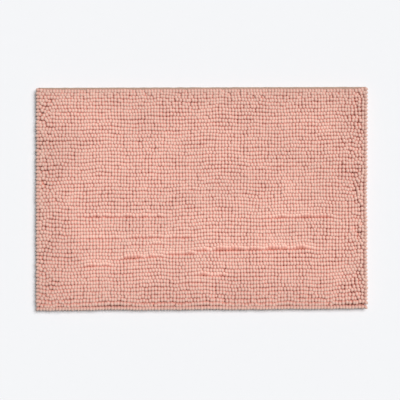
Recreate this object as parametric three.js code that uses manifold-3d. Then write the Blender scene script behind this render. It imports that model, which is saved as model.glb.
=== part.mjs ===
// Bath mat with a tufted chenille pile on a cloth backing, with an anti-slip coat underneath
// and a hem tape sewn round its edge.
// Millimetres. X runs along the mat, Y across it and Z up.
// The origin is on the floor, at the middle of the mat's footprint.

import * as THREE from 'three';
import { mergeVertices } from 'three/addons/utils/BufferGeometryUtils.js';
import Module from 'manifold-3d';

const wasm = await Module();
wasm.setup();

// Driving dimensions

const matLength = 900;
const matWidth = 604;
const matHeight = 20;

const rowCount = 62;
const rowsPerNode = 2;
const valleyDepth = 5;
const rowGap = 0.4;
const crestSegments = 5;

const backingThickness = 0.8;
const coatThickness = 0.8;
const gripProud = 0.2;
const gripMargin = 4;

const tapeThickness = 0.6;
const tapeLap = 10;
const hemInset = 5;

const threadThickness = 0.4;
const threadWidth = 0.9;
const threadInset = 6;

const layerGap = 0.2;
const pileClearance = 0.3;

const rowPitch = matWidth / rowCount;

// Levels, from the floor up

const gripHeight = gripProud + threadThickness + layerGap + tapeThickness + layerGap;
const lowerLipTop = gripHeight - layerGap;
const lowerLipBottom = lowerLipTop - tapeThickness;
const bobbinThreadTop = lowerLipBottom - layerGap;
const coatTop = gripHeight + coatThickness;
const backingBottom = coatTop + layerGap;
const backingTop = backingBottom + backingThickness;
const upperLipBottom = backingTop + layerGap;
const upperLipTop = upperLipBottom + tapeThickness;
const needleThreadBottom = upperLipTop + layerGap;
const needleThreadTop = needleThreadBottom + threadThickness;
const pileFoot = backingTop + pileClearance;
const pileFootOverHem = needleThreadTop + pileClearance;

// Plan sizes of the layers

const hemLength = matLength - 2 * hemInset;
const hemWidth = matWidth - 2 * hemInset;
const clothLength = hemLength - 2 * (tapeThickness + layerGap);
const clothWidth = hemWidth - 2 * (tapeThickness + layerGap);
const gripLength = hemLength - 2 * (tapeLap + gripMargin);
const gripWidth = hemWidth - 2 * (tapeLap + gripMargin);

// Finishes

const chenille = new THREE.MeshStandardMaterial({ color: 0xdea99a, roughness: 0.95, metalness: 0 });
const wovenCloth = new THREE.MeshStandardMaterial({ color: 0xe6cfc4, roughness: 0.9, metalness: 0 });
const gripCoat = new THREE.MeshStandardMaterial({ color: 0xf0ebe4, roughness: 0.6, metalness: 0 });
const hemTape = new THREE.MeshStandardMaterial({ color: 0xd39c8d, roughness: 0.85, metalness: 0 });
const sewingThread = new THREE.MeshStandardMaterial({ color: 0xc98f80, roughness: 0.7, metalness: 0 });

const bathMat = new THREE.Group();

function addPiece(name, geometry, material) {
  const mesh = new THREE.Mesh(geometry, material);
  mesh.name = name;
  bathMat.add(mesh);
}

// A closed geometry as a solid for cutting and joining
function toSolid(geometry) {
  const bare = geometry.clone();
  bare.deleteAttribute('normal');
  bare.deleteAttribute('uv');
  const merged = mergeVertices(bare);
  const vertProperties = new Float32Array(merged.attributes.position.array);
  const triVerts = new Uint32Array(merged.index.array);
  return new wasm.Manifold(new wasm.Mesh({ numProp: 3, vertProperties, triVerts }));
}

function toGeometry(solid) {
  const mesh = solid.getMesh();
  const geometry = new THREE.BufferGeometry();
  geometry.setAttribute('position', new THREE.BufferAttribute(mesh.vertProperties, 3));
  geometry.setIndex(new THREE.BufferAttribute(mesh.triVerts, 1));
  geometry.computeVertexNormals();
  return geometry;
}

// A box given by its plan size and its two levels
function slab(length, width, bottom, top, x = 0, y = 0) {
  const geometry = new THREE.BoxGeometry(length, width, top - bottom);
  geometry.translate(x, y, (bottom + top) / 2);
  return geometry;
}

// Extrudes an outline drawn in Y and Z along X, centred on X = 0
function extrudeAlongX(outline, length, curveSegments) {
  const geometry = new THREE.ExtrudeGeometry(outline, { depth: length, bevelEnabled: false, curveSegments });
  geometry.translate(0, 0, -length / 2);
  const alongY = new THREE.Vector3(0, 1, 0);
  const upward = new THREE.Vector3(0, 0, 1);
  const alongX = new THREE.Vector3(1, 0, 0);
  geometry.applyMatrix4(new THREE.Matrix4().makeBasis(alongY, upward, alongX));
  return geometry;
}

// Chenille pile: rows of looped yarn along the mat, a few neighbouring rows to a node

// The section of one node's rows: a flat foot and one round crest for each row
function rowsOutline(middle) {
  const width = rowsPerNode * rowPitch - rowGap;
  const crestWidth = width / rowsPerNode;
  const shoulder = matHeight - valleyDepth;
  const firstEdge = middle - width / 2;
  const outline = new THREE.Shape();
  outline.moveTo(firstEdge, pileFoot);
  outline.lineTo(firstEdge + width, pileFoot);
  outline.lineTo(firstEdge + width, shoulder);
  for (let row = rowsPerNode - 1; row >= 0; row -= 1) {
    const crestMiddle = firstEdge + (row + 0.5) * crestWidth;
    outline.absellipse(crestMiddle, shoulder, crestWidth / 2, valleyDepth, 0, Math.PI, false, 0);
  }
  outline.closePath();
  return outline;
}

// The room that the hem tape and its upper thread take under the edge of the pile
function hemRoom() {
  const reach = tapeLap + pileClearance + hemInset;
  const bottom = pileFoot - pileClearance;
  const longSide = matLength + 2 * reach;
  const shortSide = matWidth + 2 * reach;
  const alongY = matWidth / 2;
  const alongX = matLength / 2;
  const front = toSolid(slab(longSide, 2 * reach, bottom, pileFootOverHem, 0, -alongY));
  const back = toSolid(slab(longSide, 2 * reach, bottom, pileFootOverHem, 0, alongY));
  const left = toSolid(slab(2 * reach, shortSide, bottom, pileFootOverHem, -alongX, 0));
  const right = toSolid(slab(2 * reach, shortSide, bottom, pileFootOverHem, alongX, 0));
  return front.add(back).add(left).add(right);
}

function twoDigits(number) {
  return String(number).padStart(2, '0');
}

const roomForHem = hemRoom();
for (let first = 1; first <= rowCount; first += rowsPerNode) {
  const last = first + rowsPerNode - 1;
  const middle = (first - 1 + rowsPerNode / 2) * rowPitch - matWidth / 2;
  const rows = extrudeAlongX(rowsOutline(middle), matLength, crestSegments);
  const fitted = toSolid(rows).subtract(roomForHem);
  addPiece(`pile_rows_${twoDigits(first)}_${twoDigits(last)}`, toGeometry(fitted), chenille);
}

// Cloth that the yarn is tufted through

addPiece('primary_backing', slab(clothLength, clothWidth, backingBottom, backingTop), wovenCloth);

// Anti-slip coat: a thin skin under the cloth, with its field of grip dots as one raised block

const skin = toSolid(slab(clothLength, clothWidth, gripHeight, coatTop));
const gripField = toSolid(slab(gripLength, gripWidth, 0, coatTop));
addPiece('anti_slip_backing', toGeometry(skin.add(gripField)), gripCoat);

// Hem tape: one strip to a side, folded round the layers' edge, with mitred ends

// The tape's section: an upper lip, an outer wall and a lower lip, open towards the mat's middle.
// The first coordinate is the distance outwards from the hem's outer face, so the lips are negative.
function tapeOutline() {
  const outline = new THREE.Shape();
  outline.moveTo(0, lowerLipBottom);
  outline.lineTo(0, upperLipTop);
  outline.lineTo(-tapeLap, upperLipTop);
  outline.lineTo(-tapeLap, upperLipBottom);
  outline.lineTo(-tapeThickness, upperLipBottom);
  outline.lineTo(-tapeThickness, lowerLipTop);
  outline.lineTo(-tapeLap, lowerLipTop);
  outline.lineTo(-tapeLap, lowerLipBottom);
  outline.closePath();
  return outline;
}

// A strip along the back side, its ends cut at 45 degrees: a point further in lies nearer the middle
function mitredTape(sideLength) {
  const geometry = extrudeAlongX(tapeOutline(), sideLength, 1);
  const position = geometry.attributes.position;
  for (let i = 0; i < position.count; i += 1) {
    const inwards = -position.getY(i);
    const end = Math.sign(position.getX(i));
    position.setX(i, end * (sideLength / 2 - inwards - layerGap));
  }
  return geometry;
}

// A sewing thread along the back side, laid the thread's inset in from the hem's outer face
function seamThread(sideLength, bottom) {
  const length = sideLength - 2 * (threadInset + threadWidth + layerGap);
  return slab(length, threadWidth, bottom, bottom + threadThickness, 0, -threadInset);
}

const quarterTurn = Math.PI / 2;
const sides = [
  { name: 'front', length: hemLength, reach: hemWidth / 2, turns: 2 },
  { name: 'back', length: hemLength, reach: hemWidth / 2, turns: 0 },
  { name: 'left', length: hemWidth, reach: hemLength / 2, turns: 1 },
  { name: 'right', length: hemWidth, reach: hemLength / 2, turns: 3 },
];

// Moves a strip made along the back side out to its own side of the mat
function toSide(geometry, side) {
  geometry.translate(0, side.reach, 0);
  geometry.rotateZ(side.turns * quarterTurn);
  return geometry;
}

for (const side of sides) {
  addPiece(`hem_tape_${side.name}`, toSide(mitredTape(side.length), side), hemTape);
}

for (const side of sides) {
  const needleThread = seamThread(side.length, needleThreadBottom);
  addPiece(`needle_thread_${side.name}`, toSide(needleThread, side), sewingThread);
}

for (const side of sides) {
  const bobbinThread = seamThread(side.length, bobbinThreadTop - threadThickness);
  addPiece(`bobbin_thread_${side.name}`, toSide(bobbinThread, side), sewingThread);
}

export default bathMat;
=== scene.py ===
"""Chenille bath mat: its pile, cloth, grip coat, hems and seams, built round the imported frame."""

import math
import random

import bmesh
import bpy
from bpy.props import FloatProperty, FloatVectorProperty, IntProperty, PointerProperty
from mathutils import Matrix, Vector, noise


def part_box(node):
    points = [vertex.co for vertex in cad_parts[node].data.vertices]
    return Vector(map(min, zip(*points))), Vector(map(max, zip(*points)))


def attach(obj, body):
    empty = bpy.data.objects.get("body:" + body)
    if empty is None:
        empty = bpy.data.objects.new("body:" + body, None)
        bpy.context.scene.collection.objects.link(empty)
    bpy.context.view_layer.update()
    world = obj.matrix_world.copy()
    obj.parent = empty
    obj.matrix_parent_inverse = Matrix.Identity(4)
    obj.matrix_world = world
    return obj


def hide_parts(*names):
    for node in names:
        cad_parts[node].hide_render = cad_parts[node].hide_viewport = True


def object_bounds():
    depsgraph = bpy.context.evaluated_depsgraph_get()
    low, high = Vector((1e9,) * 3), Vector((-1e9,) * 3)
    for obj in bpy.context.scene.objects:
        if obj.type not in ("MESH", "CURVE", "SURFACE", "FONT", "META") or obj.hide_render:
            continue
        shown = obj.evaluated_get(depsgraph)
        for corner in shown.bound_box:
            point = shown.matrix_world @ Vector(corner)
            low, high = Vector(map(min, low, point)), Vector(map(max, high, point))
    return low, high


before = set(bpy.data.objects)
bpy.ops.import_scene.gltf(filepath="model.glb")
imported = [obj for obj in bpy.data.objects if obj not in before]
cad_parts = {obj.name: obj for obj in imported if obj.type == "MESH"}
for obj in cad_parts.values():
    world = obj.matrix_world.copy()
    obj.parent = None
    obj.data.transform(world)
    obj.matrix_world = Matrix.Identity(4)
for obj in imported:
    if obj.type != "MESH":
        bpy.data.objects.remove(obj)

bl_info = {
    "name": "Chenille Bath Mat",
    "version": (1, 0, 0),
    "blender": (4, 5, 0),
    "location": "3D View > Sidebar > Bath Mat",
    "description": "Builds a looped chenille bath mat with its cloth, grip coat, hems and seams",
    "category": "Add Mesh",
}

BODY = "root"
MM = 0.001

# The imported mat, in metres: X along it, Y across it, Z up, origin on the floor at its middle
CAD_LOW, CAD_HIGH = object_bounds()
HALF_LENGTH = (CAD_HIGH.x - CAD_LOW.x) / 2
HALF_WIDTH = (CAD_HIGH.y - CAD_LOW.y) / 2
PILE_NODES = sorted(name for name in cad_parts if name.startswith("pile_rows_"))
ROW_COUNT = int(PILE_NODES[-1].split("_")[-1])
ROWS_PER_NODE = ROW_COUNT // len(PILE_NODES)
ROW_PITCH = 2 * HALF_WIDTH / ROW_COUNT
CLOTH_LOW, CLOTH_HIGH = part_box("primary_backing")
COAT_LOW, COAT_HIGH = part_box("anti_slip_backing")
HEM_LOW, HEM_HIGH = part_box("hem_tape_front")
HEM_LAP = HEM_HIGH.y - HEM_LOW.y
HEM_INSET = HALF_WIDTH + HEM_LOW.y
LAYER_GAP = 0.2 * MM
PILE_CLEARANCE = 0.3 * MM
PILE_FLOOR = CLOTH_HIGH.z + PILE_CLEARANCE
PILE_FLOOR_OVER_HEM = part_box("needle_thread_front")[1].z + PILE_CLEARANCE

# How the relaxed mat lies: its long sides run askew, a little less so at the back, and its short
# sides draw in between the corners
ASKEW = 2.1 * MM
LESS_ASKEW_AT_BACK = 0.75 * MM
LEFT_DRAWN_IN = 0.3 * MM
RIGHT_DRAWN_IN = 1.6 * MM

# How many faces a flat layer has along X and along Y
LAYER_STEPS_X = 90
LAYER_STEPS_Y = 60

# Places where two rows have parted: where each furrow starts, where it ends, and how far it opens
PARTINGS = (
    ((-0.325, -0.054), (-0.090, -0.053), 0.6),
    ((0.160, -0.056), (0.358, -0.053), 0.6),
    ((-0.330, -0.1118), (-0.010, -0.1108), 0.5),
    ((-0.195, -0.1277), (-0.110, -0.1272), 0.4),
    ((-0.228, -0.168), (-0.105, -0.158), 0.85),
    ((-0.105, -0.154), (-0.016, -0.154), 0.8),
    ((-0.013, -0.146), (0.308, -0.138), 0.95),
    ((-0.320, -0.187), (-0.250, -0.185), 0.6),
    ((-0.025, -0.214), (0.062, -0.213), 0.85),
    ((-0.060, -0.231), (0.010, -0.230), 0.4),
    ((-0.055, 0.022), (-0.018, 0.022), 0.5),
    ((0.180, 0.085), (0.300, 0.085), 0.2),
    ((0.158, 0.200), (0.295, 0.207), 0.25),
)


# Sizes and colours that a user may change


class BathMatSizes(bpy.types.PropertyGroup):
    """Sizes of the mat's fine parts"""

    bobble_spacing: FloatProperty(
        name="Bobble Spacing", description="Distance from bobble to bobble along a row",
        default=0.00841, min=0.004, max=0.02, unit="LENGTH")
    bobble_fullness: FloatProperty(
        name="Bobble Fullness", description="Width of a bobble over its share of the row",
        default=1.46, min=0.7, max=1.7, subtype="FACTOR")
    bobble_scatter: FloatProperty(
        name="Bobble Scatter", description="How far single bobbles stray from their row",
        default=0.0004, min=0.0, max=0.003, unit="LENGTH")
    row_slip: FloatProperty(
        name="Row Slip", description="How far a row's bobbles slip along it past the next row's",
        default=0.0016, min=0.0, max=0.005, unit="LENGTH")
    pile_drift: FloatProperty(
        name="Pile Drift", description="How far neighbouring rows drift together",
        default=0.0016, min=0.0, max=0.006, unit="LENGTH")
    height_scatter: FloatProperty(
        name="Height Scatter", description="How much the bobbles differ in height",
        default=0.0004, min=0.0, max=0.003, unit="LENGTH")
    parting_width: FloatProperty(
        name="Parting Width", description="How far two parted rows lean apart",
        default=0.0085, min=0.0, max=0.01, unit="LENGTH")
    grip_spacing: FloatProperty(
        name="Grip Spacing", description="Distance between neighbouring grip dots",
        default=0.013, min=0.006, max=0.03, unit="LENGTH")
    grip_radius: FloatProperty(
        name="Grip Radius", description="Radius of a grip dot",
        default=0.0026, min=0.001, max=0.005, unit="LENGTH")
    stitch_length: FloatProperty(
        name="Stitch Length", description="Length of one stitch in the hem seams",
        default=0.0032, min=0.002, max=0.008, unit="LENGTH")
    seed: IntProperty(
        name="Seed", description="Picks another mat out of the same batch", default=7, min=0)


class BathMatColours(bpy.types.PropertyGroup):
    """Colours of the mat's yarns, cloths and coat"""

    # Crown, flank and root colour one yarn by height: flank and root are darker, redder copies of the
    # crown colour, painted shade that deepens down each bobble to its foot
    crown: FloatVectorProperty(
        name="Crown", description="Tips of the chenille bobbles", subtype="COLOR",
        default=(0.778, 0.512, 0.424), size=3, min=0.0, max=1.0)
    flank: FloatVectorProperty(
        name="Flank", description="Sides of the chenille bobbles", subtype="COLOR",
        default=(0.712, 0.356, 0.295), size=3, min=0.0, max=1.0)
    root: FloatVectorProperty(
        name="Root", description="Feet of the chenille bobbles", subtype="COLOR",
        default=(0.77, 0.345, 0.26), size=3, min=0.0, max=1.0)
    cloth: FloatVectorProperty(
        name="Backing Cloth", description="Cloth that the yarn is tufted through", subtype="COLOR",
        default=(0.66, 0.36, 0.28), size=3, min=0.0, max=1.0)
    tape: FloatVectorProperty(
        name="Hem Tape", description="Tape folded round the edge", subtype="COLOR",
        default=(0.44, 0.31, 0.24), size=3, min=0.0, max=1.0)
    thread: FloatVectorProperty(
        name="Thread", description="Sewing thread of the hem seams", subtype="COLOR",
        default=(0.62, 0.36, 0.28), size=3, min=0.0, max=1.0)
    coat: FloatVectorProperty(
        name="Grip Coat", description="Anti-slip coat under the mat", subtype="COLOR",
        default=(0.84, 0.80, 0.74), size=3, min=0.0, max=1.0)
    floor: FloatVectorProperty(
        name="Floor", description="Floor under the mat", subtype="COLOR",
        default=(0.80, 0.805, 0.82), size=3, min=0.0, max=1.0)


# Small helpers

NOISE_GAIN = 1.6
LAYER_DISTANCE = 7.3


def smoothstep(low, high, value):
    """Rises smoothly from 0 at low to 1 at high"""
    share = min(max((value - low) / (high - low), 0.0), 1.0)
    return share * share * (3.0 - 2.0 * share)


def drift(x, y, wavelength, layer):
    """A smooth wave of about -1 to 1 over the mat, different in each layer"""
    return NOISE_GAIN * noise.noise(Vector((x / wavelength, y / wavelength, LAYER_DISTANCE * layer)))


def fading(distance, reach):
    """1 at no distance, falling smoothly to 0 at the given reach"""
    return 1.0 - smoothstep(0.0, reach, distance)


def waves(parts, x, y):
    """The sum of several waves, each given as its strength, its wavelength and its layer"""
    return sum(strength * drift(x, y, wavelength, layer) for strength, wavelength, layer in parts)


def settled(x, y):
    """Where a point of the square-cut mat lies once the mat has relaxed"""
    along = x / HALF_LENGTH
    across = y / HALF_WIDTH
    drawn_in = (1.0 - across * across) * (RIGHT_DRAWN_IN if x > 0 else LEFT_DRAWN_IN)
    askew = along * (ASKEW - LESS_ASKEW_AT_BACK * across)
    return x - along * drawn_in, y + askew


def settle(bm):
    """Lays every point of a flat-made piece where the relaxed mat has it"""
    for vert in bm.verts:
        vert.co.x, vert.co.y = settled(vert.co.x, vert.co.y)


def finished_piece(name, bm, material, slot, *nodes):
    """Turns a bmesh into a smooth piece of the mat that stands for the given CAD nodes"""
    for face in bm.faces:
        face.smooth = True
    mesh = bpy.data.meshes.new(name)
    bm.to_mesh(mesh)
    bm.free()
    mesh.materials.append(material)
    piece = bpy.data.objects.new(name, mesh)
    bpy.context.scene.collection.objects.link(piece)
    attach(piece, BODY)
    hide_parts(*nodes)
    return piece


# Materials


class Recipe:
    """A material's node tree, built line by line"""

    # Sockets of the Mix node that carry colours, whose names its other sockets share
    MIX_FIRST = 6
    MIX_SECOND = 7
    MIX_RESULT = 2

    def __init__(self, name, view_colour):
        self.material = bpy.data.materials.new(name)
        self.material.use_nodes = True
        self.material.diffuse_color = (*view_colour, 1.0)
        self.tree = self.material.node_tree
        self.shader = self.tree.nodes["Principled BSDF"]
        self.places = self.add("ShaderNodeTexCoord").outputs["Object"]

    def add(self, kind, **settings):
        """Adds a node and sets its options"""
        node = self.tree.nodes.new(kind)
        for option, value in settings.items():
            setattr(node, option, value)
        return node

    def feed(self, socket, value):
        """Joins an output to an input, or sets the input to a plain value"""
        if isinstance(value, bpy.types.NodeSocket):
            self.tree.links.new(value, socket)
        elif isinstance(value, tuple) and socket.type == "RGBA":
            socket.default_value = (*value[:3], 1.0)
        else:
            socket.default_value = value

    def grain(self, scale, detail=2.0, stretch=(1.0, 1.0, 1.0)):
        """A noise pattern with the given number of grains to the metre"""
        mapping = self.add("ShaderNodeMapping")
        self.feed(mapping.inputs["Vector"], self.places)
        self.feed(mapping.inputs["Scale"], stretch)
        pattern = self.add("ShaderNodeTexNoise")
        self.feed(pattern.inputs["Vector"], mapping.outputs["Vector"])
        self.feed(pattern.inputs["Scale"], scale)
        self.feed(pattern.inputs["Detail"], detail)
        return pattern.outputs["Fac"]

    def ribs(self, scale, direction, distortion=0.0):
        """A pattern of straight ribs, as yarns lie in a weave"""
        pattern = self.add("ShaderNodeTexWave", wave_type="BANDS", bands_direction=direction)
        self.feed(pattern.inputs["Vector"], self.places)
        self.feed(pattern.inputs["Scale"], scale)
        self.feed(pattern.inputs["Distortion"], distortion)
        return pattern.outputs["Fac"]

    def attribute(self, name):
        """A number stored on the piece's points"""
        return self.add("ShaderNodeAttribute", attribute_name=name).outputs["Fac"]

    def levels(self, value, low, high, to_low, to_high):
        """Stretches a value from one range to another, and stops at the ends"""
        node = self.add("ShaderNodeMapRange")
        self.feed(node.inputs["Value"], value)
        self.feed(node.inputs["From Min"], low)
        self.feed(node.inputs["From Max"], high)
        self.feed(node.inputs["To Min"], to_low)
        self.feed(node.inputs["To Max"], to_high)
        return node.outputs["Result"]

    def ramp(self, value, *stops):
        """Colours along a value: pairs of place and colour"""
        node = self.add("ShaderNodeValToRGB")
        elements = node.color_ramp.elements
        while len(elements) < len(stops):
            elements.new(0.5)
        for element, (place, colour) in zip(elements, stops, strict=True):
            element.position = place
            element.color = (*colour, 1.0)
        self.feed(node.inputs["Fac"], value)
        return node.outputs["Color"]

    def mix(self, share, first, second):
        """Mixes two colours"""
        node = self.add("ShaderNodeMix", data_type="RGBA")
        self.feed(node.inputs["Factor"], share)
        self.feed(node.inputs[self.MIX_FIRST], first)
        self.feed(node.inputs[self.MIX_SECOND], second)
        return node.outputs[self.MIX_RESULT]

    def reckon(self, operation, first, second):
        """Adds, multiplies or otherwise joins two numbers"""
        node = self.add("ShaderNodeMath", operation=operation)
        self.feed(node.inputs[0], first)
        self.feed(node.inputs[1], second)
        return node.outputs["Value"]

    def dim(self, colour, by):
        """A colour made lighter or darker by a number"""
        node = self.add("ShaderNodeVectorMath", operation="SCALE")
        self.feed(node.inputs["Vector"], colour)
        self.feed(node.inputs["Scale"], by)
        return node.outputs["Vector"]

    def finish(self, colour, roughness, relief, depth, strength, set_values):
        """Feeds the shader: colour, roughness, a relief of the given depth, and values set on it"""
        self.feed(self.shader.inputs["Base Color"], colour)
        self.feed(self.shader.inputs["Roughness"], roughness)
        bump = self.add("ShaderNodeBump")
        self.feed(bump.inputs["Strength"], strength)
        self.feed(bump.inputs["Distance"], depth)
        self.feed(bump.inputs["Height"], relief)
        self.feed(self.shader.inputs["Normal"], bump.outputs["Normal"])
        for socket, value in set_values.items():
            self.feed(self.shader.inputs[socket], value)
        return self.material


def shade(colour, by):
    """A plain colour made lighter or darker by a factor"""
    return tuple(min(part * by, 1.0) for part in colour)


def chenille_yarn(colours):
    """Velvety cut fibres, peach pink at the crown, with painted shade that turns them deep coral
    down to the root
    """
    recipe = Recipe("chenille_yarn", colours.flank)
    fibres = recipe.grain(1400.0, detail=3.0)
    ragged = recipe.levels(fibres, 0.3, 0.7, -0.06, 0.06)
    height = recipe.reckon("ADD", recipe.attribute("pile_height"), ragged)
    # The colour ramp up each bobble is painted shade: deep coral at the root and flank, the crown
    # colour at the tip
    body = recipe.ramp(height,
                       (0.50, tuple(colours.root)),
                       (0.80, tuple(colours.flank)),
                       (0.975, tuple(colours.crown)))
    # The tint holds random tone, painted shade near the edges and on hanging tips, and painted light
    # beside a parting
    tint = recipe.attribute("yarn_tone_and_painted_light")
    dye = recipe.levels(recipe.grain(7.0), 0.3, 0.7, 0.96, 1.03)
    flecks = recipe.levels(fibres, 0.25, 0.75, 0.95, 1.05)
    shading = recipe.reckon("MULTIPLY", recipe.reckon("MULTIPLY", tint, dye), flecks)
    roughness = recipe.levels(fibres, 0.3, 0.7, 0.84, 0.98)
    velvet = {
        "Sheen Weight": 0.2,
        "Sheen Roughness": 0.5,
        "Sheen Tint": (1.0, 0.82, 0.75),
        "Specular IOR Level": 0.12,
    }
    return recipe.finish(recipe.dim(body, shading), roughness, fibres, 0.35 * MM, 0.5, velvet)


def woven_cloth(colours):
    """Plain weave of fine even yarns"""
    recipe = Recipe("woven_backing", colours.cloth)
    weave = recipe.reckon("MULTIPLY", recipe.ribs(260.0, "X", 0.4), recipe.ribs(260.0, "Y", 0.4))
    slub = recipe.grain(60.0, detail=3.0, stretch=(1.0, 6.0, 1.0))
    colour = recipe.mix(weave, shade(colours.cloth, 0.72), tuple(colours.cloth))
    thick = recipe.levels(slub, 0.35, 0.7, 0.0, 0.35)
    slubbed = recipe.mix(thick, colour, shade(colours.cloth, 1.2))
    roughness = recipe.levels(slub, 0.3, 0.7, 0.8, 0.95)
    return recipe.finish(slubbed, roughness, weave, 0.3 * MM, 1.0, {"Sheen Weight": 0.1})


def twill_tape(colours):
    """Diagonal twill ribs with slightly uneven dye"""
    recipe = Recipe("twill_hem_tape", colours.tape)
    fuzz = recipe.grain(900.0)
    ribs = recipe.ribs(300.0, "DIAGONAL", 0.6)
    relief = recipe.reckon("ADD", ribs, recipe.levels(fuzz, 0.2, 0.8, -0.2, 0.2))
    colour = recipe.mix(ribs, shade(colours.tape, 0.7), shade(colours.tape, 1.08))
    wear = recipe.levels(recipe.grain(25.0), 0.4, 0.7, 0.0, 0.3)
    worn = recipe.mix(wear, colour, shade(colours.tape, 1.2))
    roughness = recipe.levels(fuzz, 0.3, 0.7, 0.78, 0.92)
    return recipe.finish(worn, roughness, relief, 0.25 * MM, 1.0, {"Sheen Weight": 0.12})


def sewing_thread(colours):
    """Twisted plies with the low shine of polyester thread"""
    recipe = Recipe("seam_thread", colours.thread)
    plies = recipe.ribs(900.0, "DIAGONAL")
    colour = recipe.mix(plies, shade(colours.thread, 0.75), shade(colours.thread, 1.1))
    roughness = recipe.levels(recipe.grain(1500.0), 0.3, 0.7, 0.45, 0.65)
    return recipe.finish(colour, roughness, plies, 0.08 * MM, 1.0, {"Sheen Weight": 0.05})


def rubber_coat(colours):
    """Milky rubber, sprayed on a little unevenly, with dust in its pores"""
    recipe = Recipe("grip_rubber", colours.coat)
    mottle = recipe.grain(35.0, detail=4.0)
    pores = recipe.grain(700.0)
    uneven = recipe.levels(mottle, 0.35, 0.7, 0.0, 1.0)
    colour = recipe.mix(uneven, shade(colours.coat, 0.9), tuple(colours.coat))
    dust = recipe.levels(pores, 0.5, 0.8, 0.0, 0.4)
    dusty = recipe.mix(dust, colour, shade(colours.coat, 0.75))
    roughness = recipe.levels(mottle, 0.3, 0.7, 0.42, 0.62)
    return recipe.finish(dusty, roughness, pores, 0.12 * MM, 1.0, {"Specular IOR Level": 0.4})


def pale_floor(colours):
    """Smooth matt paint"""
    recipe = Recipe("pale_floor", colours.floor)
    grain = recipe.grain(40.0)
    colour = recipe.dim(tuple(colours.floor), recipe.levels(grain, 0.3, 0.7, 0.998, 1.002))
    roughness = recipe.levels(grain, 0.3, 0.7, 0.9, 1.0)
    return recipe.finish(colour, roughness, grain, 0.02 * MM, 0.1, {"Specular IOR Level": 0.0})


# Pile: rows of chenille bobbles

BOBBLE_SIDES = 8
BOBBLE_RINGS = 6
CROWN_SINK = 0.9 * MM
KNEE_RISE = 1.5 * MM
CORE_SIDES = 6
CORE_RISE = 4.5 * MM
OUTER_CORE_RISE = 1.2 * MM
# The yarn core takes the low end of the colour ramp: the root's painted shade
CORE_COLOUR_HEIGHT = 0.1

# A bobble's shape: how blunt its end is, how slim its foot, how uneven its sides, how soon its
# colour turns from the root's painted shade to the crown, with more painted shade beside a parting
# and less on a hanging bobble, and how its widths differ
BLUNTNESS = 0.06
BLUNTER_WHEN_HANGING = 0.2
FOOT_WIDTH = 0.8
FOOT_LENGTH = 0.35
LUMP_HEIGHT = 0.08
LUMP_SCALE = 1.6
LUMP_SPREAD = 90.0
LUMP_DEPTH = 3.0
DEEPER_PAINTED_SHADE_WHEN_PARTED = 0.2
LESS_PAINTED_SHADE_WHEN_HANGING = 0.3
ACROSS_TO_ALONG = 0.965
WIDTH_SCATTER = 0.05
FULLER_WHEN_PARTED = 0.2
SLIMMER_WHEN_SUNK = 0.14
SLIMMER_AT_FRONT = 0.25
SLIMMER_AT_LEFT = 0.18
SLIMMER_AT_RIGHT = 0.08

# Waves of noise, each with its wavelength and its own layer, and before them a strength if several
# are added up
WAVES_ALONG = ((1.1, 80 * MM, 1), (0.7, 27 * MM, 2))
WAVES_ACROSS = ((1.3, 70 * MM, 3), (0.8, 30 * MM, 4))
SLIP_WAVE = (48 * MM, 5)
SWAY_WAVE = (75 * MM, 6)
SWELL_WAVE = (105 * MM, 8)
BRICK_WAVE = (70 * MM, 9)
RUFFLE_WAVE = (19 * MM, 10)
PARTING_WAVE = (22 * MM, 11)

# How strongly the rows slip, sway, stagger like bricks, ruffle and swell, and how that changes
# towards the mat's sides
ROW_STRIDE = 40.0
SLIP = 0.75
SLIP_MORE_AT_SIDES = 0.6
SWAY = 0.4
BRICKS = 2.0
BRICKS_AT_LEFT = 1.3
BRICK_SHARE = 0.25
BRICKS_IN_MIDDLE = 0.45
RUFFLE = 2.3
RUFFLE_SHARE_AT_FRONT = 0.5
RUFFLE_STRETCH = 0.5
SWELL = 2.2
SWELL_LESS_AT_BACK = 1.6
SWELL_STRETCH = 0.6

# How far in from the edges the pile is restless, held by the hem, ruffled, sunk here and there, and
# raised over the hem, and where the loose strip near the right side lies
RESTLESS_REACH = 80 * MM
RESTLESS_MORE = 0.9
HELD_REACH = 14 * MM
RUFFLED_SIDE_REACH = 110 * MM
RUFFLED_FRONT_REACH = 130 * MM
SUNK_REACH = 55 * MM
SUNK_DROP = 3.0 * MM
SUNK_ODDS = 0.08
SUNK_ODDS_WHEN_LOOSE = 0.22
SUNK_MOST_HANG = 0.3
OVER_HEM_REACH = 17 * MM
OVER_HEM_LEAST = 0.02
LOOSE_PLACE = 26 * MM
LOOSE_REACH = 18 * MM

# How the outermost bobbles hang over the edge, with feet tucked in and tips reaching out
HANG_FALL = 0.62
HANG_DROP = 6.5 * MM
LEFT_TUCK = -0.7 * MM
RIGHT_TUCK = 1.5 * MM
FRONT_TUCK = 1.0 * MM
LEFT_REACH = 1.3 * MM
RIGHT_REACH = 2.1 * MM
FRONT_REACH = 2.4 * MM
FOOT_FOLLOWS = 0.6
UPRIGHT_KNEE = 0.55
KNEE_AGAINST_LEAN = 0.5

# How the rows behind them are pulled out too, and how the rolled hem pushes the back rows in
FRONT_PULL = 4.0 * MM
LEFT_PULL = 2.0 * MM
RIGHT_PULL = 1.6 * MM
PULLED_PLACES = 6
PULL_FALL = 2.0
BACK_PUSH = 5.4 * MM
BACK_PUSH_ROWS = 2.2
BACK_PUSH_STARTS = -10 * MM
BACK_PUSH_FULL = 30 * MM

# How a parting opens: it fades at its ends, and holds and leans the rows beside it
PARTING_FADE = 24 * MM
PARTING_EVEN = 0.9
PARTING_UNEVEN = 0.7
HOLD_ROWS = 4.0
LEAN_ROWS = 1.3
LEAN_BACK_ROWS = 1.2
LEAN_BACK = 0.15

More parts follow.
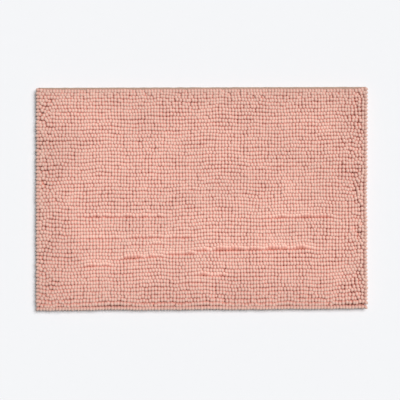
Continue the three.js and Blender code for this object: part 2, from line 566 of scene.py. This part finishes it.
# How far the yarn's tone scatters at random, how much painted shade darkens it near the edges,
# with the distance that it takes, and elsewhere, and how much painted light lightens it beside a
# parting
TINT_SCATTER = 0.025
EDGE_PAINTED_SHADE = (0.05, 110 * MM)
LEFT_PAINTED_SHADE = (0.05, 200 * MM)
FRONT_PAINTED_SHADE = (0.03, 140 * MM)
BACK_PAINTED_SHADE = 0.06
BACK_PAINTED_SHADE_ROWS = 1.5
RIGHT_TIP_PAINTED_SHADE = 0.05
HANGING_PAINTED_SHADE = 0.04
PARTED_PAINTED_LIGHT = 0.08


def parting_lean(x, y, width):
    """What the partings near a place do to its bobble: how far they move it across the mat, how far
    they lean its crown over, how open they are beside it, and how much they rule over its drift"""
    move = 0.0
    lean = 0.0
    opened = 0.0
    ruled = 0.0
    for (start_x, start_y), (end_x, end_y), depth in PARTINGS:
        share = smoothstep(start_x - PARTING_FADE, start_x + PARTING_FADE, x)
        share *= smoothstep(end_x + PARTING_FADE, end_x - PARTING_FADE, x)
        if share == 0.0:
            continue
        along = min(max((x - start_x) / (end_x - start_x), 0.0), 1.0)
        furrow = start_y + (end_y - start_y) * along
        furrow -= settled(x, furrow)[1] - furrow
        rows_below = round(((start_y + end_y) / 2 + HALF_WIDTH) / ROW_PITCH)
        boundary = rows_below * ROW_PITCH - HALF_WIDTH
        rows_away = (y - boundary) / ROW_PITCH
        hold = share * math.exp(-abs(rows_away) / HOLD_ROWS)
        move += hold * (furrow - boundary)
        ruled = max(ruled, hold)
        uneven = PARTING_EVEN + PARTING_UNEVEN * drift(x, start_y, *PARTING_WAVE)
        reach = share * depth * uneven * width
        if rows_away > 0:
            lean += reach * math.exp(-(rows_away - 0.5) / LEAN_ROWS)
            opened = max(opened, share * depth * (rows_away < 1.0))
        else:
            lean -= LEAN_BACK * reach * math.exp((rows_away + 0.5) / LEAN_BACK_ROWS)
    return move, lean, opened, ruled


def edge_closeness(x, y, reach):
    """1 at the mat's edge, falling to 0 at the given distance from it"""
    return fading(min(HALF_LENGTH - abs(x), HALF_WIDTH - abs(y)), reach)


def columns_in(x, spacing):
    """How many bobbles lie between a bobble and the nearer end of its row"""
    return (HALF_LENGTH - abs(x)) / spacing - 0.5


def rows_in(y):
    """How many rows lie between a row and the nearer long side"""
    return (HALF_WIDTH - abs(y)) / ROW_PITCH - 0.5


def rows_from_back(y):
    """How many rows lie between a row and the back"""
    return (HALF_WIDTH - y) / ROW_PITCH - 0.5


def overhang(x, y, spacing):
    """How strongly the bobble at a place hangs out over the edge: a share along X and along Y"""
    out_x = math.copysign(math.exp(-columns_in(x, spacing) / HANG_FALL), x)
    out_y = -math.exp(-rows_in(y) / HANG_FALL) if y < 0 else 0.0
    return out_x, out_y


def row_drift(sizes, row, x, y, spacing):
    """How far the pile has drifted at a place of a row: along the row, and across it"""
    near_side = fading(HALF_LENGTH - abs(x), RUFFLED_SIDE_REACH)
    near_front = fading(HALF_WIDTH + y, RUFFLED_FRONT_REACH)
    slip = SLIP + SLIP_MORE_AT_SIDES * near_side
    slipped = sizes.row_slip * slip * drift(x, ROW_STRIDE * row, *SLIP_WAVE)
    bricks = BRICKS * drift(x, y, *BRICK_WAVE) + (BRICKS_AT_LEFT * near_side if x < 0 else 0.0)
    bricks = min(max(bricks, -1.0), 1.0) * (BRICKS_IN_MIDDLE + (1.0 - BRICKS_IN_MIDDLE) * near_side)
    slipped += BRICK_SHARE * spacing * bricks * (1 if row % 2 else -1)
    along = sizes.pile_drift * waves(WAVES_ALONG, x, y)
    across = sizes.pile_drift * waves(WAVES_ACROSS, x, y)
    ruffle = RUFFLE * (near_side + RUFFLE_SHARE_AT_FRONT * near_front)
    across += sizes.pile_drift * ruffle * drift(x, RUFFLE_STRETCH * y, *RUFFLE_WAVE)
    swell = SWELL - SWELL_LESS_AT_BACK * y / HALF_WIDTH
    across += sizes.pile_drift * swell * drift(x, SWELL_STRETCH * y, *SWELL_WAVE)
    across += SWAY * sizes.row_slip * drift(x, ROW_STRIDE * row, *SWAY_WAVE)
    return slipped + along, across


def pushed_in(x, y):
    """How far the rolled hem pushes the rows near the back in, less at its two ends"""
    push = BACK_PUSH * math.exp(-rows_from_back(y) / BACK_PUSH_ROWS)
    return push * smoothstep(BACK_PUSH_STARTS, BACK_PUSH_FULL, HALF_LENGTH - abs(x))


def pulled_out(places_in, most):
    """How far a crown leans out near the edge: the most one place in from the outermost bobble"""
    return most * math.exp(-abs(places_in - 1.0) / PULL_FALL) * min(places_in, 1.0)


def yarn_tone_and_painted_light(x, y, out_x, hang, opened, dice):
    """How light a bobble's yarn looks: tone that differs at random, painted shade near the edges,
    on the right tips and on hanging bobbles, and painted light beside a parting
    """
    tint = 1.0 + TINT_SCATTER * dice.uniform(-1.0, 1.0)
    # Painted shade: darker near the edges, on the left, at the front and back, on the right tips and on
    # hanging bobbles
    tint -= EDGE_PAINTED_SHADE[0] * edge_closeness(x, y, EDGE_PAINTED_SHADE[1])
    tint -= LEFT_PAINTED_SHADE[0] * fading(HALF_LENGTH + x, LEFT_PAINTED_SHADE[1])
    tint -= FRONT_PAINTED_SHADE[0] * fading(HALF_WIDTH + y, FRONT_PAINTED_SHADE[1])
    tint -= BACK_PAINTED_SHADE * math.exp(-rows_from_back(y) / BACK_PAINTED_SHADE_ROWS)
    tint -= RIGHT_TIP_PAINTED_SHADE * max(out_x, 0.0)
    tint -= HANGING_PAINTED_SHADE * hang
    # Painted light: lighter beside a parting
    tint += PARTED_PAINTED_LIGHT * opened
    return tint


def bobble_string(count):
    """A mesh of numbered round balls, one for each bobble, to be shaped in turn"""
    bm = bmesh.new()
    number = bm.verts.layers.int.new("bobble")
    bmesh.ops.create_uvsphere(bm, u_segments=BOBBLE_SIDES, v_segments=BOBBLE_RINGS, radius=1.0)
    made = 1
    while made < count:
        more = min(made, count - made)
        verts = [vert for vert in bm.verts if vert[number] < more]
        edges = [edge for edge in bm.edges if edge.verts[0][number] < more]
        faces = [face for face in bm.faces if face.verts[0][number] < more]
        for item in bmesh.ops.duplicate(bm, geom=verts + edges + faces)["geom"]:
            if isinstance(item, bmesh.types.BMVert):
                item[number] += made
        made += more
    return bm


def shape_bobble(ball_verts, layers, path, half_sizes, lumps, marks):
    """One loop of chenille yarn: a soft finger that grows from its foot, over its knee, to its tip"""
    foot, knee, tip = path
    hang, opened, tint = marks
    blunt = BLUNTNESS + BLUNTER_WHEN_HANGING * hang
    deeper = 1.0 + DEEPER_PAINTED_SHADE_WHEN_PARTED * opened
    rings = {}
    for vert in ball_verts:
        ball = vert.co.copy()
        level = round(ball.z, 3)
        if level not in rings:
            t = (ball.z + 1.0) / 2
            centre = foot * (1 - t) ** 2 + knee * (2 * t * (1 - t)) + tip * t ** 2
            heading = (knee - foot) * (1 - t) + (tip - knee) * t
            turn = Vector((0.0, 0.0, 1.0)).rotation_difference(heading)
            out = math.sqrt(max(1.0 - ball.z * ball.z, 0.0))
            swell = out ** -blunt if out > 0.01 else 0.0
            swell *= FOOT_WIDTH + (1.0 - FOOT_WIDTH) * smoothstep(0.0, FOOT_LENGTH, t)
            rings[level] = (t, centre, turn, swell)
        t, centre, turn, swell = rings[level]
        swell *= 1.0 + LUMP_HEIGHT * noise.noise(ball * LUMP_SCALE + lumps)
        spoke = Vector((ball.x * half_sizes[0] * swell, ball.y * half_sizes[1] * swell, 0.0))
        vert.co = centre + turn @ spoke
        # The height picks the painted shade of the colour ramp: more beside a parting, less when
        # hanging
        vert[layers[0]] = t ** deeper + LESS_PAINTED_SHADE_WHEN_HANGING * hang
        # The tint carries random tone, painted shade and painted light
        vert[layers[1]] = tint


def tube_along_x(bm, steps, sides):
    """A closed tube of radius 1 from X = 0 to X = 1, made of a rolled-up grid"""
    verts = bmesh.ops.create_grid(bm, x_segments=steps, y_segments=sides, size=0.5)["verts"]
    for vert in verts:
        angle = 2 * math.pi * (vert.co.y + 0.5)
        vert.co = Vector((vert.co.x + 0.5, math.cos(angle), math.sin(angle)))
    bmesh.ops.remove_doubles(bm, verts=verts, dist=0.001)
    verts = [vert for vert in verts if vert.is_valid]
    ends = {edge for vert in verts for edge in vert.link_edges if edge.is_boundary}
    bmesh.ops.holes_fill(bm, edges=list(ends), sides=0)
    return verts


def add_core(bm, layers, feet):
    """The base of the yarn, which runs on the cloth from bobble to bobble"""
    steps = len(feet) - 1
    outermost = HALF_WIDTH - abs(feet[steps // 2].y) < ROW_PITCH
    rise = OUTER_CORE_RISE if outermost else CORE_RISE
    for vert in tube_along_x(bm, steps, CORE_SIDES):
        foot = feet[round(vert.co.x * steps)]
        vert.co = foot + Vector((0.0, vert.co.y * ROW_PITCH / 2, (vert.co.z + 1.0) * rise))
        # The core gets the root's painted shade and a plain tint
        vert[layers[0]] = CORE_COLOUR_HEIGHT
        vert[layers[1]] = 1.0


def sinks(x, y, hang, dice):
    """Whether a bobble stays lower than its neighbours, as some do near the edges"""
    loose = max(1.0 - abs(HALF_LENGTH - LOOSE_PLACE - x) / LOOSE_REACH, 0.0)
    odds = SUNK_ODDS * edge_closeness(x, y, SUNK_REACH) + SUNK_ODDS_WHEN_LOOSE * loose
    return hang < SUNK_MOST_HANG and dice.random() < odds


def bobble_path(x, y, spacing, moved, lean_apart, outwards, top):
    """Where a bobble's foot, knee and tip lie, from how far the pile has moved there, how far a
    parting leans the crown over, how strongly it hangs outwards, and how high it stands"""
    out_x, out_y = outwards
    hang = min(math.hypot(out_x, out_y), 1.0)
    push = pushed_in(x, y)
    crown_x = x + moved[0]
    crown_y = y + moved[1] + lean_apart - push
    if y < 0 and rows_in(y) < PULLED_PLACES - 0.5:
        crown_y -= pulled_out(rows_in(y), FRONT_PULL)
    if columns_in(x, spacing) < PULLED_PLACES - 0.5:
        pull = pulled_out(columns_in(x, spacing), RIGHT_PULL if x > 0 else LEFT_PULL)
        crown_x += math.copysign(pull, x)
    foot_x = crown_x - out_x * (RIGHT_TUCK if x > 0 else LEFT_TUCK)
    foot_y = y + FOOT_FOLLOWS * moved[1] - push + out_y * FRONT_TUCK
    tip_x = crown_x + out_x * spacing / 2 + out_x ** 3 * (RIGHT_REACH if x > 0 else LEFT_REACH)
    tip_y = crown_y + out_y * ROW_PITCH / 2 + out_y ** 3 * FRONT_REACH
    over_hem = edge_closeness(x, y, OVER_HEM_REACH) > OVER_HEM_LEAST
    foot = Vector((*settled(foot_x, foot_y), PILE_FLOOR_OVER_HEM if over_hem else PILE_FLOOR))
    tip = Vector((*settled(tip_x, tip_y), top - hang * hang * HANG_DROP))
    upright = foot.lerp(tip, UPRIGHT_KNEE)
    upright.y -= KNEE_AGAINST_LEAN * lean_apart
    knee = Vector((foot.x, foot.y, top + KNEE_RISE)).lerp(upright, 1.0 - hang)
    return foot, knee, tip


def bobble_widths(sizes, x, spacing, outwards, opened, sunk, dice):
    """Half a bobble's width along its row and across it"""
    out_x, out_y = outwards
    fuller = FULLER_WHEN_PARTED * opened - SLIMMER_WHEN_SUNK * sunk
    slimmer = SLIMMER_AT_FRONT * out_y ** 2
    slimmer += (SLIMMER_AT_RIGHT if x > 0 else SLIMMER_AT_LEFT) * out_x ** 2
    half_x = sizes.bobble_fullness * spacing / 2
    half_y = sizes.bobble_fullness * ACROSS_TO_ALONG * ROW_PITCH / 2
    half_x *= 1.0 + WIDTH_SCATTER * dice.uniform(-1.0, 1.0) + fuller
    half_y *= 1.0 + WIDTH_SCATTER * dice.uniform(-1.0, 1.0) + fuller - slimmer
    return half_x, half_y


def bobble_plan(sizes, row, column, count, dice):
    """One bobble: its path as foot, knee and tip, its half widths, its place in the noise of lumps,
    and its marks: how far it hangs over the edge, how open a parting beside it is, and its tint of
    random tone, painted shade and painted light"""
    spacing = 2 * HALF_LENGTH / count
    x = (column + 0.5) * spacing - HALF_LENGTH
    y = (row + 0.5) * ROW_PITCH - HALF_WIDTH
    drift_x, drift_y = row_drift(sizes, row, x, y, spacing)
    scatter = sizes.bobble_scatter * (1.0 + RESTLESS_MORE * edge_closeness(x, y, RESTLESS_REACH))
    stray_x = dice.gauss(0.0, 1.0) * scatter
    stray_y = dice.gauss(0.0, 1.0) * scatter
    parted, lean_apart, opened, ruled = parting_lean(x, y, sizes.parting_width)
    free = 1.0 - edge_closeness(x, y, HELD_REACH)
    moved = (free * (drift_x + stray_x), free * ((1.0 - ruled) * drift_y + stray_y + parted))
    outwards = overhang(x, y, spacing)
    hang = min(math.hypot(*outwards), 1.0)
    top = CAD_HIGH.z - CROWN_SINK + sizes.height_scatter * dice.gauss(0.0, 1.0)
    sunk = sinks(x, y, hang, dice)
    path = bobble_path(x, y, spacing, moved, lean_apart, outwards, top - SUNK_DROP * sunk)
    half_sizes = bobble_widths(sizes, x, spacing, outwards, opened, sunk, dice)
    lumps = Vector((LUMP_SPREAD * x, LUMP_SPREAD * y, LUMP_DEPTH * dice.random()))
    marks = (hang, opened, yarn_tone_and_painted_light(x, y, outwards[0], hang, opened, dice))
    return path, half_sizes, lumps, marks


def pile_rows(sizes, node, string, material):
    """The rows of bobbles that one CAD node stands for"""
    first = int(node.split("_")[2])
    count = round(2 * HALF_LENGTH / sizes.bobble_spacing)
    bm = string.copy()
    layers = (bm.verts.layers.float.new("pile_height"), bm.verts.layers.float.new("yarn_tone_and_painted_light"))
    number = bm.verts.layers.int["bobble"]
    balls = [[] for _ in range(count * ROWS_PER_NODE)]
    for vert in bm.verts:
        balls[vert[number]].append(vert)
    cores = []
    for place in range(ROWS_PER_NODE):
        row = first - 1 + place
        dice = random.Random(1000 * sizes.seed + row)
        feet = []
        for column in range(count):
            path, half_sizes, lumps, marks = bobble_plan(sizes, row, column, count, dice)
            shape_bobble(balls[place * count + column], layers, path, half_sizes, lumps, marks)
            feet.append(path[0])
        cores.append(feet)
    bm.verts.layers.int.remove(number)
    # Taking a layer out moves the others, so they are looked up again
    layers = (bm.verts.layers.float["pile_height"], bm.verts.layers.float["yarn_tone_and_painted_light"])
    for feet in cores:
        add_core(bm, layers, feet)
    name = node.replace("pile_rows", "chenille_rows")
    return finished_piece(name, bm, material, "chenille_pile", node)


class BATHMAT_OT_tuft_pile(bpy.types.Operator):
    """Tufts the rows of chenille bobbles"""

    bl_idname = "bath_mat.tuft_pile"
    bl_label = "Tuft Pile"

    def execute(self, context):
        sizes = context.scene.bath_mat_sizes
        material = chenille_yarn(context.scene.bath_mat_colours)
        string = bobble_string(ROWS_PER_NODE * round(2 * HALF_LENGTH / sizes.bobble_spacing))
        for node in PILE_NODES:
            pile_rows(sizes, node, string, material)
        string.free()
        return {"FINISHED"}


# Backing cloth


class BATHMAT_OT_lay_cloth(bpy.types.Operator):
    """Lays the woven cloth that the yarn is tufted through"""

    bl_idname = "bath_mat.lay_cloth"
    bl_label = "Lay Backing Cloth"

    def execute(self, context):
        size = CLOTH_HIGH - CLOTH_LOW
        bm = bmesh.new()
        bmesh.ops.create_grid(bm, x_segments=LAYER_STEPS_X, y_segments=LAYER_STEPS_Y, size=0.5)
        bmesh.ops.scale(bm, vec=(size.x, size.y, 1.0), verts=bm.verts)
        bmesh.ops.translate(bm, vec=(0.0, 0.0, CLOTH_HIGH.z), verts=bm.verts)
        bmesh.ops.solidify(bm, geom=bm.faces[:], thickness=size.z)
        settle(bm)
        piece = finished_piece("backing_cloth", bm, woven_cloth(context.scene.bath_mat_colours),
                               "backing_cloth", "primary_backing")
        return {"FINISHED"}


# Grip coat

DOT_SIDES = 10
DOT_RINGS = 6
DOT_ROOT = 0.1 * MM
DOT_CUT = 0.02 * MM
DOT_MARGIN = 4 * MM
SKIN_UNDERSIDE = CLOTH_LOW.z - 1.0 * MM


def add_grip_dots(bm, sizes, low, high):
    """A field of low round dots, each a dome that hangs from the skin down to the floor"""
    field = Vector((COAT_HIGH.x - COAT_LOW.x, COAT_HIGH.y - COAT_LOW.y))
    field -= Vector((1.0, 1.0)) * 2 * (HEM_LAP + DOT_MARGIN)
    columns = round(field.x / sizes.grip_spacing)
    rows = round(field.y / sizes.grip_spacing)
    step_x = field.x / columns
    step_y = field.y / rows
    dot = bmesh.ops.create_uvsphere(bm, u_segments=DOT_SIDES, v_segments=DOT_RINGS, radius=1.0)["verts"]
    bmesh.ops.scale(bm, vec=(sizes.grip_radius, sizes.grip_radius, high - low), verts=dot)
    bmesh.ops.translate(bm, vec=((step_x - field.x) / 2, (step_y - field.y) / 2, high), verts=dot)
    geom = bm.verts[:] + bm.edges[:] + bm.faces[:]
    cut = bmesh.ops.bisect_plane(bm, geom=geom, plane_co=(0, 0, high - DOT_CUT),
                                 plane_no=(0, 0, 1), clear_outer=True)["geom_cut"]
    rim = [item for item in cut if isinstance(item, bmesh.types.BMEdge)]
    bmesh.ops.edgeloop_fill(bm, edges=rim)
    for count, step in ((columns, Vector((step_x, 0, 0))), (rows, Vector((0, step_y, 0)))):
        pattern = bm.verts[:] + bm.edges[:] + bm.faces[:]
        for place in range(1, count):
            copy = bmesh.ops.duplicate(bm, geom=pattern)["geom"]
            verts = [item for item in copy if isinstance(item, bmesh.types.BMVert)]
            bmesh.ops.translate(bm, vec=step * place, verts=verts)


class BATHMAT_OT_coat_underside(bpy.types.Operator):
    """Coats the cloth's underside with rubber and its field of grip dots"""

    bl_idname = "bath_mat.coat_underside"
    bl_label = "Coat Underside"

    def execute(self, context):
        bm = bmesh.new()
        add_grip_dots(bm, context.scene.bath_mat_sizes, COAT_LOW.z, SKIN_UNDERSIDE + DOT_ROOT)
        grid = bmesh.ops.create_grid(bm, x_segments=LAYER_STEPS_X, y_segments=LAYER_STEPS_Y, size=0.5)
        skin = grid["verts"]
        size = COAT_HIGH - COAT_LOW
        bmesh.ops.scale(bm, vec=(size.x, size.y, 1.0), verts=skin)
        bmesh.ops.translate(bm, vec=(0.0, 0.0, COAT_HIGH.z), verts=skin)
        faces = list({face for vert in skin for face in vert.link_faces})
        bmesh.ops.solidify(bm, geom=faces, thickness=COAT_HIGH.z - SKIN_UNDERSIDE)
        settle(bm)
        finished_piece("grip_coat", bm, rubber_coat(context.scene.bath_mat_colours),
                       "grip_coat", "anti_slip_backing")
        return {"FINISHED"}


# Hems: folded tape and lockstitch seams

# Each side's turn from the back, half its length, and how far out it lies
SIDES = {
    "front": (math.pi, HALF_LENGTH, HALF_WIDTH),
    "back": (0.0, HALF_LENGTH, HALF_WIDTH),
    "left": (math.pi / 2, HALF_WIDTH, HALF_LENGTH),
    "right": (-math.pi / 2, HALF_WIDTH, HALF_LENGTH),
}
TAPE_THICKNESS = 0.6 * MM
TAPE_STEPS = 180
FOLD_RADIUS = 0.8 * MM
FOLD_STEPS = 4

# How far each tape rolls out past its flat fold, over what width, how far its ends spread with the
# roll, and how far the rolled part rises above the tape's middle and below it
TAPE_ROLL = {"front": 0.0, "back": 6.9 * MM, "left": 3.0 * MM, "right": 0.0}
ROLL_REACH = 4 * MM
END_SPREAD = 0.4
BACK_RIGHT_END_SPREAD = 0.9
ROLL_RISE = 0.12
ROLL_RISE_BELOW = -0.2
ROLL_UNEVEN = 0.1
ROLL_WAVES = 60.0
ROLL_STRIDE = 900.0

THREAD_RADIUS = 0.2 * MM
THREAD_SIDES = 6
THREAD_SWAY = 0.1 * MM
STITCH_STEPS = 4
STITCH_DIP = 0.55 * MM
STITCH_FLATNESS = 0.6
THREAD_FLATNESS = 0.3


def to_side(bm, side):
    """Turns a strip made along the back side to its own side, and settles it"""
    turn, _, reach = SIDES[side]
    bmesh.ops.translate(bm, vec=(0.0, reach - HEM_INSET, 0.0), verts=bm.verts)
    bmesh.ops.rotate(bm, verts=bm.verts, cent=(0, 0, 0), matrix=Matrix.Rotation(turn, 3, "Z"))
    settle(bm)


def tape_outline():
    """The tape's section, as pairs of distance outwards from its fold and level from its middle"""
    lip = (HEM_HIGH.z - HEM_LOW.z - TAPE_THICKNESS) / 2
    wall = TAPE_THICKNESS / 2
    lower = [(-HEM_LAP, -lip), (-HEM_LAP / 2, -lip)]
    for step in range(FOLD_STEPS + 1):
        angle = math.pi / 2 * step / FOLD_STEPS
        outwards = -wall - FOLD_RADIUS * (1.0 - math.sin(angle))
        lower.append((outwards, -lip + FOLD_RADIUS * (1.0 - math.cos(angle))))
    return lower + [(outwards, -level) for outwards, level in reversed(lower)]


def tape_strip(side):
    """A tape folded round the layers' edge, with mitred ends, laid along the back side"""
    half = SIDES[side][1] - HEM_INSET
    roll = TAPE_ROLL[side]
    middle = (HEM_LOW.z + HEM_HIGH.z) / 2
    bm = bmesh.new()
    chain = [bm.verts.new((-half, outwards, middle + level)) for outwards, level in tape_outline()]
    edges = [bm.edges.new(pair) for pair in zip(chain, chain[1:])]
    bmesh.ops.spin(bm, geom=chain + edges, cent=(0, 0, 0), axis=(1, 0, 0), angle=0.0,
                   steps=TAPE_STEPS, dvec=(2 * half / TAPE_STEPS, 0.0, 0.0), use_duplicate=False)
    for vert in bm.verts:
        inwards = -vert.co.y
        near_fold = smoothstep(ROLL_REACH, 0.0, inwards)
        spread = BACK_RIGHT_END_SPREAD if side == "back" and vert.co.x > 0 else END_SPREAD
        vert.co.x *= (half - inwards - LAYER_GAP + spread * roll * near_fold) / half
        place = Vector((vert.co.x * ROLL_WAVES, roll * ROLL_STRIDE, 0.0))
        uneven = 1.0 + ROLL_UNEVEN * noise.noise(place)
        vert.co.y += roll * near_fold * uneven
        vert.co.z += near_fold * roll * ROLL_RISE * (1.0 if vert.co.z > middle else ROLL_RISE_BELOW)
    bmesh.ops.recalc_face_normals(bm, faces=bm.faces)
    bmesh.ops.solidify(bm, geom=bm.faces[:], thickness=TAPE_THICKNESS)
    bmesh.ops.recalc_face_normals(bm, faces=bm.faces)
    to_side(bm, side)
    return bm, (2 * half, 2 * (HEM_LAP + roll) + HEM_HIGH.z - HEM_LOW.z)


class BATHMAT_OT_fold_hems(bpy.types.Operator):
    """Folds a tape round each side of the mat"""

    bl_idname = "bath_mat.fold_hems"
    bl_label = "Fold Hem Tapes"

    def execute(self, context):
        material = twill_tape(context.scene.bath_mat_colours)
        for side in SIDES:
            bm, flat = tape_strip(side)
            node = f"hem_tape_{side}"
            piece = finished_piece(f"folded_tape_{side}", bm, material, "hem_tape", node)
        return {"FINISHED"}


def seam_thread(side, node, stitch_length):
    """One thread of a lockstitch seam: it arches over each stitch and dips into the tape between"""
    low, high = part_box(node)
    size = high - low
    length = max(size.x, size.y)
    width = min(size.x, size.y)
    place = abs(low.y + high.y) / 2 if size.x > size.y else abs(low.x + high.x) / 2
    inset = SIDES[side][2] - HEM_INSET - place
    upper = low.z > CLOTH_LOW.z
    surface = high.z - THREAD_RADIUS if upper else low.z + THREAD_RADIUS
    stitches = round(length / stitch_length)
    bm = bmesh.new()
    for vert in tube_along_x(bm, STITCH_STEPS * stitches, THREAD_SIDES):
        share = vert.co.x * stitches
        arch = abs(math.sin(math.pi * share)) ** STITCH_FLATNESS
        dip = (1.0 - arch) * STITCH_DIP
        vert.co.x = (vert.co.x - 0.5) * length
        sway = THREAD_SWAY * math.sin(2 * math.pi * share)
        vert.co.y = vert.co.y * THREAD_FLATNESS * width - inset + sway
        vert.co.z = vert.co.z * THREAD_RADIUS + (surface - dip if upper else surface + dip)
    bmesh.ops.recalc_face_normals(bm, faces=bm.faces)
    to_side(bm, side)
    return bm


class BATHMAT_OT_sew_hems(bpy.types.Operator):
    """Sews the hems with a needle thread above and a bobbin thread below"""

    bl_idname = "bath_mat.sew_hems"
    bl_label = "Sew Hems"

    def execute(self, context):
        material = sewing_thread(context.scene.bath_mat_colours)
        stitch_length = context.scene.bath_mat_sizes.stitch_length
        for kind in ("needle", "bobbin"):
            for side in SIDES:
                node = f"{kind}_thread_{side}"
                bm = seam_thread(side, node, stitch_length)
                finished_piece(f"{kind}_stitches_{side}", bm, material, "sewing_thread", node)
        return {"FINISHED"}


# Stage: floor, light, surround and camera

FLOOR_HALF = 20.0
SUN_HEIGHT = math.radians(60)
SUN_HEADING = math.radians(39)
SUN_SPREAD = math.radians(36)
SUN_STRENGTH = 3.61
SUN_COLOUR = (1.0, 0.986, 0.984)
SURROUND_STRENGTH = 0.163
SURROUND_COLOUR = (0.90, 1.0, 1.02)
FRAME_WIDTH = 1.0905
LENS = 85.0
SENSOR = 36.0
CAMERA_X = -4.9 * MM
CAMERA_Y = -5.4 * MM
CAMERA_CLIP = 50.0


def add_floor(scene):
    """A wide pale floor under the mat"""
    bm = bmesh.new()
    bmesh.ops.create_grid(bm, x_segments=4, y_segments=4, size=FLOOR_HALF)
    mesh = bpy.data.meshes.new("floor")
    bm.to_mesh(mesh)
    bm.free()
    mesh.materials.append(pale_floor(scene.bath_mat_colours))
    floor = bpy.data.objects.new("floor", mesh)
    scene.collection.objects.link(floor)


def add_light(scene):
    """One wide soft light from high up at the back right, and a dim even surround"""
    sun = bpy.data.lights.new("key_light", "SUN")
    sun.color = SUN_COLOUR
    sun.energy = SUN_STRENGTH
    sun.angle = SUN_SPREAD
    sun_object = bpy.data.objects.new("key_light", sun)
    towards = Vector((math.cos(SUN_HEIGHT) * math.cos(SUN_HEADING),
                      math.cos(SUN_HEIGHT) * math.sin(SUN_HEADING),
                      math.sin(SUN_HEIGHT)))
    sun_object.rotation_euler = towards.to_track_quat("Z", "Y").to_euler()
    scene.collection.objects.link(sun_object)

    world = bpy.data.worlds.new("soft_surround")
    world.use_nodes = True
    background = world.node_tree.nodes["Background"]
    background.inputs["Color"].default_value = (*SURROUND_COLOUR, 1.0)
    background.inputs["Strength"].default_value = SURROUND_STRENGTH
    scene.world = world


def add_camera(scene):
    """A camera that looks straight down and takes in the whole mat"""
    camera = bpy.data.cameras.new("camera")
    camera.lens = LENS
    camera.sensor_width = SENSOR
    camera.clip_end = CAMERA_CLIP
    camera_object = bpy.data.objects.new("camera", camera)
    distance = FRAME_WIDTH * LENS / SENSOR
    camera_object.location = (CAMERA_X, CAMERA_Y, distance + 0.9 * CAD_HIGH.z)
    scene.collection.objects.link(camera_object)
    scene.camera = camera_object
    scene.view_settings.view_transform = "Standard"


class BATHMAT_OT_set_stage(bpy.types.Operator):
    """Puts the mat on a pale floor under soft light, with a camera straight above it"""

    bl_idname = "bath_mat.set_stage"
    bl_label = "Set Stage"

    def execute(self, context):
        add_floor(context.scene)
        add_light(context.scene)
        add_camera(context.scene)
        return {"FINISHED"}


# Panel and registration


class BATHMAT_PT_build(bpy.types.Panel):
    """Lists the mat's settings and building steps"""

    bl_label = "Bath Mat"
    bl_idname = "BATHMAT_PT_build"
    bl_space_type = "VIEW_3D"
    bl_region_type = "UI"
    bl_category = "Bath Mat"

    def draw(self, context):
        layout = self.layout
        for operator in OPERATORS:
            layout.operator(operator.bl_idname)
        for settings in (context.scene.bath_mat_sizes, context.scene.bath_mat_colours):
            column = layout.column(align=True)
            for name in settings.__annotations__:
                column.prop(settings, name)


OPERATORS = (
    BATHMAT_OT_tuft_pile,
    BATHMAT_OT_lay_cloth,
    BATHMAT_OT_coat_underside,
    BATHMAT_OT_fold_hems,
    BATHMAT_OT_sew_hems,
    BATHMAT_OT_set_stage,
)
CLASSES = (BathMatSizes, BathMatColours, *OPERATORS, BATHMAT_PT_build)


def register():
    """Registers the add-on's classes and the scene's settings"""
    for item in CLASSES:
        bpy.utils.register_class(item)
    bpy.types.Scene.bath_mat_sizes = PointerProperty(type=BathMatSizes)
    bpy.types.Scene.bath_mat_colours = PointerProperty(type=BathMatColours)


def unregister():
    """Takes the add-on out again"""
    del bpy.types.Scene.bath_mat_colours
    del bpy.types.Scene.bath_mat_sizes
    for item in reversed(CLASSES):
        bpy.utils.unregister_class(item)


def main():
    """Builds the whole mat"""
    register()
    bpy.ops.bath_mat.tuft_pile()
    bpy.ops.bath_mat.lay_cloth()
    bpy.ops.bath_mat.coat_underside()
    bpy.ops.bath_mat.fold_hems()
    bpy.ops.bath_mat.sew_hems()
    bpy.ops.bath_mat.set_stage()


if __name__ == "__main__":
    main()
